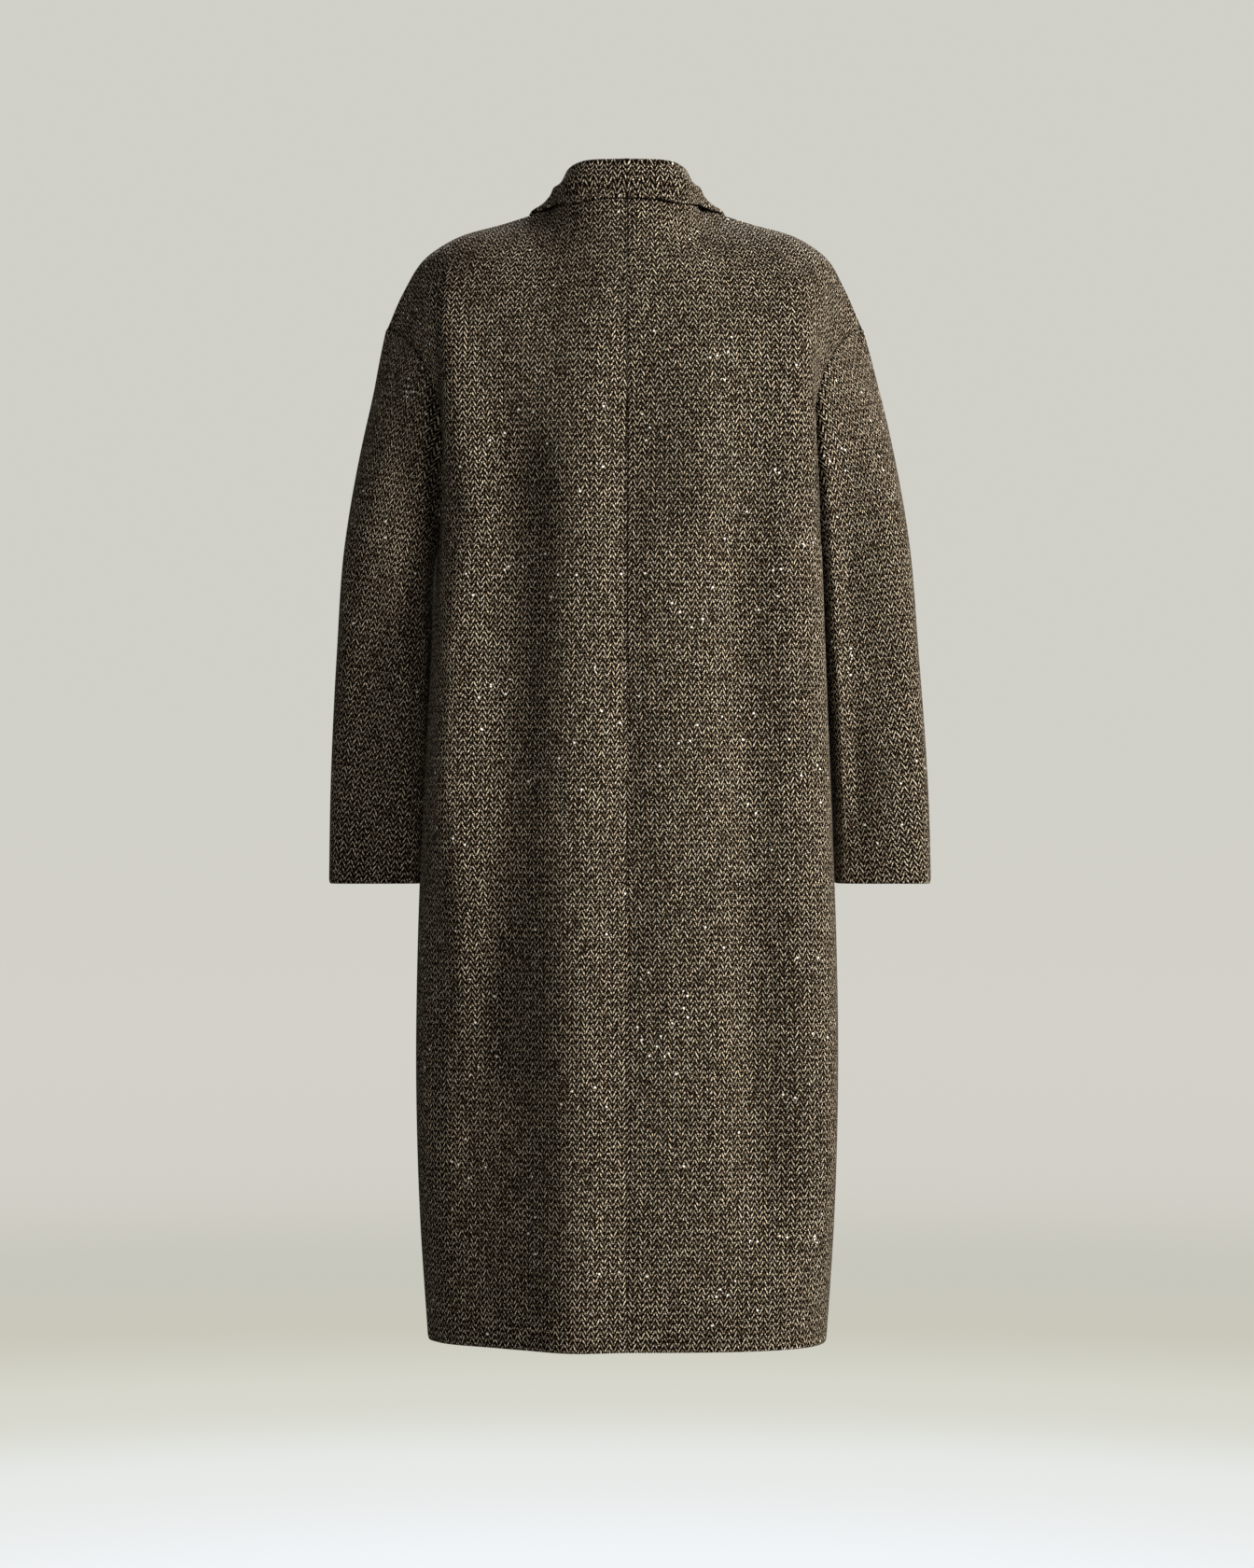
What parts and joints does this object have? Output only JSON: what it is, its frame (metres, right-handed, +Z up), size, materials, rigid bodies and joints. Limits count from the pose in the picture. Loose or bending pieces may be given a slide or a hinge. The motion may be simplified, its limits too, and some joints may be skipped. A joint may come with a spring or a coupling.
{
  "type": "double-breasted coat",
  "caption": "Long double-breasted herringbone wool coat, worn and hollow, with a fold-over collar, lapels, dropped shoulders and straight sleeves.",
  "frame": {"origin": "inside the neck, level with the nape, where the centre-back seam meets the collar and the wearer's neck and shoulders hold the coat", "axes": "+Z up, -Y out of the front, +X towards the wearer's left"},
  "size_m": [0.6174, 0.2966, 1.1915],
  "materials": {
    "herringbone_wool": "brushed herringbone tweed of dark brown and cream yarn with flecks",
    "dark_horn": "polished dark horn"
  },
  "bodies": {
    "root": {"back_left": "herringbone_wool", "back_right": "herringbone_wool", "front_left": "herringbone_wool", "front_right": "herringbone_wool", "sleeve_left": "herringbone_wool", "sleeve_right": "herringbone_wool", "collar": "herringbone_wool", "lapel_left": "herringbone_wool", "lapel_right": "herringbone_wool", "button_1": "dark_horn", "button_2": "dark_horn", "button_3": "dark_horn", "button_4": "dark_horn", "button_5": "dark_horn", "button_6": "dark_horn"}
  },
  "joints": []
}
